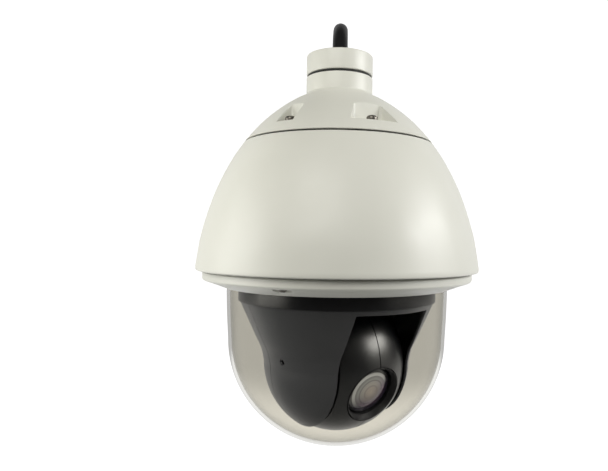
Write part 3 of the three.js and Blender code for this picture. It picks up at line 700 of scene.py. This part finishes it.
def threaded(turn, radius, along):
    """A female pipe thread: the bore's radius grows from the crest to the root and back each turn."""
    if abs(radius - THREAD_R) > 1e-3 or along > -0.9:
        return radius
    phase = (along / THREAD_PITCH - turn / (2 * math.pi)) % 1
    return radius + THREAD_DEPTH * (1 - abs(2 * phase - 1))


def thread_rows(start, end):
    count = int(abs(start - end) / (THREAD_PITCH / 8))
    return [(THREAD_R, start + (end - start) * k / count) for k in range(count + 1)]


def collar():
    outside = soften([(20.8, 0), (25.7, 0), (NECK_R, -0.6), (NECK_R, -15.1), (25.8, -15.6), (22.65, -15.6),
                      (22.65, -9), (20.9, -9)], 0.5, closed=False)
    piece = lathe("mount_collar_fine", [*outside, *thread_rows(-8.8, -1.2)], FINE, ripple=threaded)
    stand_for(piece, WHITE, "mount_collar")
    gasket = soften([(22.8, -15.9), (25.2, -15.9), (25.2, -17.4), (22.8, -17.4)], 0.3)
    stand_for(lathe("collar_gasket_fine", gasket, FINE), RUBBER, "collar_gasket")


def pocket_tool(name, back, front, grow, low, high, turn):
    """A trapezoid with rounded back corners that opens outwards along +X."""
    near, far, corner = POCKET_BACK - grow, 95, POCKET_CORNER + grow
    half_back = back + grow
    half_front = front + grow + (front - back) * (far - POCKET_BACK - POCKET_LENGTH) / POCKET_LENGTH
    outline = [(far, -half_front), (far, half_front)]
    outline += arc(near + corner, half_back - corner, corner, corner, 90, 180, 8)
    outline += arc(near + corner, corner - half_back, corner, corner, 180, 270, 8)
    return prism(name, outline, low, high, turned(math.radians(turn)))


def cap():
    slope = spline(CAP_SLOPE, 7)
    inside = inset(slope, CAP_WALL)
    shoulder = soften([(21.6, -9.3), (22.35, -9.3), (22.35, -17.7), (NECK_R, -17.7), slope[0]], 0.45,
                      closed=False)
    lip = [(73.5, -69.4), (73.2, -69.8), (70.2, -69.8)]
    outer_skin = [(0, -9.3), *shoulder, *slope[1:-1], *lip[:2], (0, -69.8)]
    body = lathe("top_cap_fine", outer_skin, FINE)
    hollow_outline = [(0, -5), (THREAD_R, -5), *thread_rows(-9.1, -30), (THREAD_R, -30.6), (23.5, -31),
                      *inside[4:], (inside[-1][0], -80), (0, -80)]
    hollow = lathe("hollow", hollow_outline, FINE, ripple=threaded)
    walls = [pocket_tool(f"wall_{k}", b, f, CAP_WALL, POCKET_FLOOR - CAP_WALL, 0, POCKET_TURNS[k])
             for k, (b, f) in enumerate(POCKETS)]
    cut(hollow, walls)
    pockets = [pocket_tool(f"pocket_{k}", b, f, 0, POCKET_FLOOR, 5, POCKET_TURNS[k])
               for k, (b, f) in enumerate(POCKETS)]
    out = Matrix.Translation((CAP_SCREW_AT * MM, 0, 0))
    holes = [rod(f"hole_{k}", POCKET_HOLE_R, -80, -50, place=turned(math.radians(turn)) @ out, sides=24)
             for k, turn in enumerate(POCKET_TURNS)]
    cut(body, [hollow, *pockets, *holes])
    clean(body, 0.00012)
    bevel(body, 0.45, 3)
    stand_for(body, WHITE, "top_cap")
    seal = soften([(70.2, -70.1), (72.3, -70.1), (72.3, -70.9), (70.2, -70.9)], 0.25)
    stand_for(lathe("cap_seal_fine", seal, FINE), RUBBER, "cap_seal")


def socket_screw(node, head_r, head_h, shank_r, down=True):
    """A pan-head screw with a hex socket half as wide as its head, in the space of its CAD node."""
    low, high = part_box(node)
    x, y = (low.x + high.x) / 2, (low.y + high.y) / 2
    top, bottom = heights(node)
    length = top - bottom
    dome = arc(0, -head_h * 0.45, head_r, head_h * 0.45, 90, 0, 7)
    turns = int((length - head_h) / 0.7) - 1
    shank = [(shank_r - 0.22 * (k % 2), -head_h - 0.5 - 0.7 * k) for k in range(turns)]
    outline = [*dome, (head_r, -head_h), (shank_r, -head_h), *shank, (shank_r * 0.6, -length), (0, -length)]
    piece = lathe(f"{node}_fine", outline, SMALL)
    cut(piece, [prism("socket", pin_places(head_r * 0.5, 6, 0), -head_h * 0.7, 2)])
    bevel(piece, 0.12)
    flip = Matrix.Identity(4) if down else Matrix.Rotation(math.pi, 4, "X")
    piece.matrix_world = Matrix.Translation((x, y, (top if down else bottom) * MM)) @ flip
    stand_for(piece, DARK_STEEL, node)


# ---------------------------------------------------------------- shield, bezel and bubble
SHIELD_SIDE = [(74.6, -71.2), (83, -83.8), (92.5, -102), (99.7, -120.4), (106.2, -143), (110, -166)]
SHIELD_WALL = 2.4
BEZEL_SCREW_AT = 98.6  # from the pan axis


def shield():
    side = spline(SHIELD_SIDE, 9)
    inside = [p for p in inset(side, SHIELD_WALL) if p[1] < -75.5]
    rim = arc(108.8, -167.8, 1.2, 1.2, 0, -180, 10)
    outline = [(66, -71.2), (74.2, -71.2), (74.9, -71.7), *side[1:], *rim, *inside[::-1],
               (74.4, -74.2), (73.4, -73.6), (66, -73.6)]
    piece = lathe("sun_shield_fine", outline, 256)
    stand_for(piece, WHITE, "sun_shield")


def bezel():
    groove = [(101.2, -177.3), (100.9, -176.9), (100.5, -177.0), (100.3, -177.6)]
    lip = [(89.6, -181.6), (89.4, -181.2), (89.0, -181.3), (88.8, -181.9)]
    outline = soften([(92.5, -169.5), (103.9, -169.5), (104.9, -170.5), (104.9, -175.2), (104.1, -176.3),
                      *groove, (96.6, -178.9), *lip, (88.3, -182.1), (87.6, -182.4), (87, -182), (87, -178.6),
                      (92.5, -178.6)], 0.4, sharp=18)
    body = lathe("dome_bezel_fine", outline, 256)
    screws = [f"bezel_screw_{k}" for k in (1, 2, 3)]
    half, wide = 7, 3.2
    slot = [*arc(BEZEL_SCREW_AT, half - wide, wide, wide, 0, 180, 10),
            *arc(BEZEL_SCREW_AT, wide - half, wide, wide, 180, 360, 10)]
    out = Matrix.Translation((BEZEL_SCREW_AT * MM, 0, 0))
    tools = []
    for screw in screws:
        place = turned(heading_of(screw))
        tools.append(prism(f"{screw}_slot", slot, -190, -174.6, place))
        tools.append(rod(f"{screw}_bore", 1.8, -190, -160, place=place @ out, sides=24))
    cut(body, tools)
    clean(body, 0.0001)
    bevel(body, 0.3)
    stand_for(body, WHITE, "dome_bezel")
    for screw in screws:
        socket_screw(screw, 2.7, 4.2, 1.5, down=False)
    gasket = soften([(93.4, -168.3), (96.2, -168.3), (96.2, -169.2), (93.4, -169.2)], 0.3)
    stand_for(lathe("housing_gasket_fine", gasket, MID), RUBBER, "housing_gasket")
    seal = soften([(88.6, -168.3), (91.8, -168.3), (91.8, -175.7), (88.6, -175.7)], 0.8)
    stand_for(lathe("dome_seal_fine", seal, FINE), RUBBER, "dome_seal")


def bubble():
    wall, waist_r, waist_z, depth, top_r = 2.4, 84.9, -222, 82.6, 86.4
    bowl = arc(0, waist_z, waist_r, depth, 0, -90, 40)
    inner = arc(0, waist_z, waist_r - wall, depth - wall, -90, 0, 40)
    outside = spline([(top_r, -187), (85.9, -204), (waist_r, waist_z)], 6)[:-1]
    inside = spline([(waist_r - wall, waist_z), (83.5, -204), (top_r - wall, -187)], 6)[1:]
    outline = [*inner, *inside, (84, -176.5), (84.4, -176), (91.8, -176), (92.2, -176.4), (92.2, -177.9),
               (91.8, -178.3), (top_r, -178.3), *outside, *bowl]
    piece = lathe("dome_bubble_fine", outline, 256)
    # the lamps' light and their mirrored light reach the head as if the wall weren't there
    piece.visible_shadow = False
    piece.visible_diffuse = False
    piece.visible_glossy = False
    stand_for(piece, DOME, "dome_bubble")


# ---------------------------------------------------------------- pan head
COVER_R = 57.3
COVER_WALL = 1.7
COVER_GAP = 0.15  # half the gap between the two covers
SLOT_HALF = 33
SLOT_TOP = -196.3
SLOT_BACK = -28.5  # how far the slot runs back under the ball
SPLIT = -5.0  # where the covers meet, behind the tilt axis
SIDE_SCREW_AT = (11.6, 54, 5.6)  # forward, sideways and up from the tilt axis's middle
SIDE_HOLE_R = 2.2


def turntable():
    outline = soften([(7, -172), (18.3, -172), (18.3, -168), (24, -168), (24, -172), (77.6, -172),
                      (77.6, -192.6), (75.6, -192.6), (75.6, -175), (7, -175)], 0.5)
    stand_for(lathe("turntable_fine", outline, 256, place=HEAD), SKIRT_BLACK, "turntable")


def slice_at(work, point, normal, drop=False):
    """Adds edges where a plane crosses a sheet, and may drop what lies on the normal's side."""
    everything = work.verts[:] + work.edges[:] + work.faces[:]
    bmesh.ops.bisect_plane(work, geom=everything, plane_co=point, plane_no=normal, clear_outer=drop,
                           dist=1e-6)


def cover_sheet(name):
    """The covers' outer skin as one open sheet, flare above and half a sphere below."""
    flare = spline([(76.2, -192.9), (69.8, -207.4), (63.6, -221), (59.5, -230), (COVER_R, TILT_Z)], 8)
    bowl = arc(0, TILT_Z, COVER_R, COVER_R, 0, -90, 30)
    outline = [(75.0, -184.2), (75.0, -192.6), *flare, *bowl[1:]]
    return lathe(name, outline, 240, closed=False)


def side_place(side):
    """The place of a cover's side screw, or of the head's middle beside it where side is 0."""
    x, y, z = SIDE_SCREW_AT
    return HEAD @ Matrix.Translation((x * MM, side * y * MM, (TILT_Z + z) * MM))


def cover(node, is_front):
    """One yoke cover: the sheet is cut to its outline, thickened inwards and its rims rounded."""
    piece = cover_sheet(f"{node}_fine")
    work = bmesh.new()
    work.from_mesh(piece.data)
    side = 1 if is_front else -1
    slice_at(work, ((SPLIT + side * COVER_GAP) * MM, 0, 0), (-side, 0, 0), drop=True)
    # the slot's edges become real edges in the sheet, and then its faces go
    for y in (-SLOT_HALF, SLOT_HALF):
        slice_at(work, (0, y * MM, 0), (0, 1, 0))
    for z in (SLOT_TOP, TILT_Z):
        slice_at(work, (0, 0, z * MM), (0, 0, 1))
    slice_at(work, (SLOT_BACK * MM, 0, 0), (1, 0, 0))
    gone = []
    for face in work.faces:
        middle = face.calc_center_median() / MM
        in_front = is_front and middle.z < SLOT_TOP
        under = middle.z < TILT_Z and middle.x > SLOT_BACK
        if abs(middle.y) < SLOT_HALF and (in_front or under):
            gone.append(face)
    bmesh.ops.delete(work, geom=gone, context="FACES")
    # slivers beside the rim are merged, because they would spoil its rounding
    near_rim = [v for v in work.verts
                if v.is_boundary or any(e.other_vert(v).is_boundary for e in v.link_edges)]
    bmesh.ops.remove_doubles(work, verts=near_rim, dist=0.00022)
    bmesh.ops.recalc_face_normals(work, faces=work.faces)
    facing_out = sum(face.normal.dot(face.calc_center_median() * Vector((1, 1, 0))) for face in work.faces)
    if facing_out < 0:
        bmesh.ops.reverse_faces(work, faces=work.faces)
    work.to_mesh(piece.data)
    work.free()
    wall = piece.modifiers.new("wall", "SOLIDIFY")
    wall.thickness = COVER_WALL * MM
    wall.offset = -1
    wall.use_even_offset = True
    bake(piece)
    clean(piece)
    bevel(piece, 0.35, 3, 50)
    piece.matrix_world = HEAD
    if is_front:
        cut(piece, [rod(f"side_hole_{s}", SIDE_HOLE_R, *sorted((s * 40, s * 70)), "y", side_place(0), 24)
                    for s in (-1, 1)])
    stand_for(piece, COVER_BLACK, node)
    # the faces that look inwards take the near-black matt material, painted shade for the covers' hollow inside
    piece.data.materials.append(MATT_BLACK_AND_SHADE)
    for face in piece.data.polygons:
        outward = Vector((face.center.x, face.center.y, min(0, face.center.z - TILT_CENTRE.z)))
        face.material_index = int(face.normal.dot(outward.normalized()) < -0.25)


def side_screw(node, side):
    outline = [(0, 0), (1.2, 0), (1.8, -0.25), (2.0, -0.7), (2.0, -1.4), (1.2, -1.4), (1.2, -13.6),
               (0, -13.6)]
    piece = lathe(f"{node}_fine", outline, SMALL)
    cross = [block("cross_a", (-1.3, 1.3), (-0.28, 0.28), (-0.9, 1)),
             block("cross_b", (-0.28, 0.28), (-1.3, 1.3), (-0.9, 1))]
    cut(piece, cross)
    piece.matrix_world = side_place(side) @ Matrix.Rotation(-side * math.pi / 2, 4, "X")
    stand_for(piece, DARK_STEEL, node)


# ---------------------------------------------------------------- camera ball
BALL_R = 54.6
BALL_WALL = 2.0
BALL_HALF = 30
LENS_RING_R = 22.6
SEAM = 0.3  # half the gap between the two shells
SEAM_EDGE = 1.0  # where the shell's rounded edge is full height, from the ball's middle
FIRST_ROW = 1.7  # where the shell's even rows of points start
AXLE_HOLE_R = 4.3
GUIDE_ROD_AT = 14  # above and below the lens axis


def true_sphere(piece, centre, radius):
    """Gives every corner that lies on the sphere the sphere's own normal."""
    mesh = piece.data
    normals = [corner.vector.copy() for corner in mesh.corner_normals]
    for index, loop in enumerate(mesh.loops):
        away = mesh.vertices[loop.vertex_index].co - centre
        if abs(away.length - radius) < 0.06 * MM:
            normals[index] = away.normalized()
    mesh.normals_split_custom_set(normals)


def ball_shell(side, node):
    def zone(radius, near, far, steps):
        """A sphere's outline between two distances from the ball's middle, along the tilt axis."""
        first, last = (math.degrees(math.asin(y / radius)) for y in (near, far))
        return arc(0, 0, radius, radius, first, last, steps)

    inner = BALL_R - BALL_WALL
    wall = BALL_HALF - BALL_WALL
    outline = [*zone(BALL_R, SEAM, SEAM_EDGE, 1), *zone(BALL_R, FIRST_ROW, BALL_HALF, 26),
               (AXLE_HOLE_R, BALL_HALF), (AXLE_HOLE_R, wall), *zone(inner, wall, SEAM, 22)]
    outline = soften(outline, 0.3)
    if side < 0:
        outline = [(r, -y) for r, y in outline]
    piece = lathe(f"{node}_fine", outline, 240, "y", BALL)
    cut(piece, [rod("lens_hole", LENS_RING_R + 0.3, 25, 80, "x", BALL, 160)])
    clean(piece, 0.00008)
    bevel(piece, 0.25, 2, 50)
    stand_for(piece, BALL_BLACK, node)
    true_sphere(piece, TILT_CENTRE, BALL_R * MM)


def bulging(radius, start, bulge, step):
    """The outline of a lens face from the axis outwards, standing `bulge` past `start` at the axis."""
    turns = [math.radians(t) for t in range(0, 91, step)]
    return [(radius * math.sin(a), start + bulge * math.cos(a)) for a in turns]


def lens():
    steps = []
    for k in range(4):
        r, x = 21.5 - 0.33 * k, 49.5 - 0.95 * k
        steps += [(r, x), (r - 0.05, x - 0.6), (r - 0.3, x - 0.75)]
    rim = LENS_RING_R - 0.4
    ring = [(20.2, 38), (rim, 38), (rim, 49.3), (22.0, 49.75), (21.8, 49.9), (21.6, 49.8), *steps,
            (20.2, 45.6)]
    stand_for(lathe("lens_ring_fine", soften(ring, 0.12), 160, "x", BALL), RING_BLACK, "lens_ring")
    grooves = []
    for k in range(8):
        x = 36.8 - 1.6 * k
        grooves += [(17.4, x), (16.9, x - 0.9), (17.4, x - 1.0)]
    tube = [(20.5, 0.2), (20.5, 37.3), (20.1, 37.7), (17.7, 37.7), (17.4, 37.4), *grooves,
            (17.4, 0.6), (9, 0.6), (9, -1.7), (20.1, -1.7)]
    barrel = lathe("lens_barrel_fine", tube, 128, "x", BALL)
    rails = [BALL @ Matrix.Translation((0, 0, z * MM)) for z in (-GUIDE_ROD_AT, GUIDE_ROD_AT)]
    merge(barrel, [rod("guide_rod", 0.9, 0, 37, "x", rail, 24) for rail in rails])
    stand_for(barrel, MATT_BLACK_AND_SHADE, "lens_barrel")
    glass = [(0, 38), (19.5, 38), (FRONT_GLASS_R, 38.4), *bulging(FRONT_GLASS_R, 42.4, 4.6, 5)[::-1]]
    stand_for(lathe("front_lens_fine", glass, 128, "x", BALL), FRONT_GLASS, "front_lens", keep_axes=True)
    for node, back, front, bulge in (("zoom_group", 22, 27, 1.5), ("focus_group", 6.5, 9.5, 1)):
        outline = [*bulging(11, back, -bulge, 9), (16.1, back), (16.3, back + 0.2), (16.3, front - 0.2),
                   (16.1, front), *bulging(11, front, bulge, 9)[::-1]]
        piece = lathe(f"{node}_fine", outline, MID, "x", BALL)
        cut(piece, [rod("slide", 1.3, back - 4, front + 4, "x", rail, 24) for rail in rails])
        stand_for(piece, LENS_GLASS, node)


# ---------------------------------------------------------------- pieces inside that keep their CAD shape
def dress_inside():
    looks = {
        "cast_alloy": ALLOY, "black_plastic": MATT_BLACK_AND_SHADE, "rubber": RUBBER, "steel": STEEL,
        "dark_steel": DARK_STEEL, "circuit_board": BOARD, "clear_plastic": DOME, "lens_glass": LENS_GLASS,
        "brass": BRASS, "cable_jacket": JACKET, "white_paint": WHITE,
    }
    for node, piece in frame["nodes"].items():
        look = looks[SLOT_OF[node]]
        piece.data.materials.clear()
        piece.data.materials.append(look)
        piece.modifiers.new("weld", "WELD").merge_threshold = 0.01 * MM
        edge = piece.modifiers.new("edge", "BEVEL")
        edge.width = 0.3 * MM
        edge.segments = 2
        edge.limit_method = "ANGLE"
        edge.angle_limit = math.radians(40)


# ---------------------------------------------------------------- floor, light and studio
FLOOR_Z = -0.62
# how bright the sheet and the air are to the object; the camera sees both plain white
FLOOR_GLOW = 0.95
WALL_GLOW = 0.54
FRONT_GLOW = 0.08  # the floor before the object
AIR_GLOW = 0.05
AIR_SEEN = 1.2


def stage_look(name, color):
    """A sheet that is plain white to the camera, and lights the object only from behind and below it.

    What is seen through the bubble is the floor and the wall at their own glow."""
    look = Look(name, color, 0.9)
    look.tint(look.noise(3, 2), tuple(0.985 * c for c in color), color)
    look.set("Emission Color", (1, 1, 1, 1))
    away = look.split()["Y"]
    glow = look.remap(away, 0.95, 1.5, FLOOR_GLOW, WALL_GLOW)
    behind = look.remap(away, -0.1, 0.5)
    path = look.nodes.new("ShaderNodeLightPath").outputs
    full = look.maths("MAXIMUM", behind, path["Is Transmission Ray"])
    felt = mixed(look.tree, full, FRONT_GLOW, glow)
    look.join(mixed(look.tree, path["Is Camera Ray"], felt, 1.0), look.shader.inputs["Emission Strength"])
    return look.material


def studio():
    """A pale sheet that sweeps up behind the object, four soft boxes and the air round them."""
    depth, height, bend = 1.9, 2.4, 0.6
    turn = arc(depth - bend, FLOOR_Z + bend, bend, bend, -90, 0, 9)
    sweep = [(-2.6, FLOOR_Z), *turn, (depth, height)]
    half = 3.2
    points = [(x, y, z) for y, z in sweep for x in (-half, half)]
    faces = [[2 * k, 2 * k + 1, 2 * k + 3, 2 * k + 2] for k in range(len(sweep) - 1)]
    floor = link("studio_floor", mesh_of("studio_floor", points, faces))
    for face in floor.data.polygons:
        face.use_smooth = True
    floor.data.materials.append(stage_look("studio_white", (0.3, 0.3, 0.3)))

    def softbox(name, place, target, size, power, tone=(1, 1, 1)):
        data = bpy.data.lights.new(name, "AREA")
        data.shape = "RECTANGLE"
        data.size, data.size_y = size
        data.energy = power
        data.color = tone
        lamp = link(name, data)
        aim = (Vector(target) - Vector(place)).to_track_quat("-Z", "Y")
        lamp.matrix_world = Matrix.Translation(place) @ aim.to_matrix().to_4x4()

    softbox("left_box", (-0.4, -0.12, -0.12), (0, 0, -0.16), (0.3, 0.35), 0.95, (1, 1, 0.97))
    softbox("right_box", (0.4, -0.12, -0.12), (0, 0, -0.16), (0.3, 0.35), 0.2, (1, 1, 0.97))
    softbox("front_box", (-0.2, -0.7, 0.42), (0, 0, -0.05), (0.6, 0.5), 3.9, (1, 0.99, 0.94))
    softbox("high_box", (1.2, -0.28, 0.3), (0.03, -0.04, -0.21), (0.8, 0.4), 9.8)
    world = bpy.data.worlds.new("studio_air")
    world.use_nodes = True
    tree = world.node_tree
    air = tree.nodes["Background"]
    air.inputs["Color"].default_value = (0.93, 0.9, 0.84, 1)
    path = tree.nodes.new("ShaderNodeLightPath").outputs
    felt = mixed(tree, path["Is Transmission Ray"], AIR_GLOW, WALL_GLOW)
    feed(tree, air.inputs["Strength"], mixed(tree, path["Is Camera Ray"], felt, AIR_SEEN))
    bpy.context.scene.world = world
    bpy.context.scene.view_settings.view_transform = "Standard"


make_camera()
dress_inside()
cord = cable_curve()
on_cord = connector()
gland()
collar()
cap()
for index in (1, 2, 3, 4):
    socket_screw(f"cap_screw_{index}", 4, 4.2, 2)
shield()
bezel()
bubble()
turntable()
cover("yoke_cover_front", True)
cover("yoke_cover_rear", False)
side_screw("cover_screw_left", -1)
side_screw("cover_screw_right", 1)
ball_shell(-1, "ball_shell_left")
ball_shell(1, "ball_shell_right")
lens()
studio()
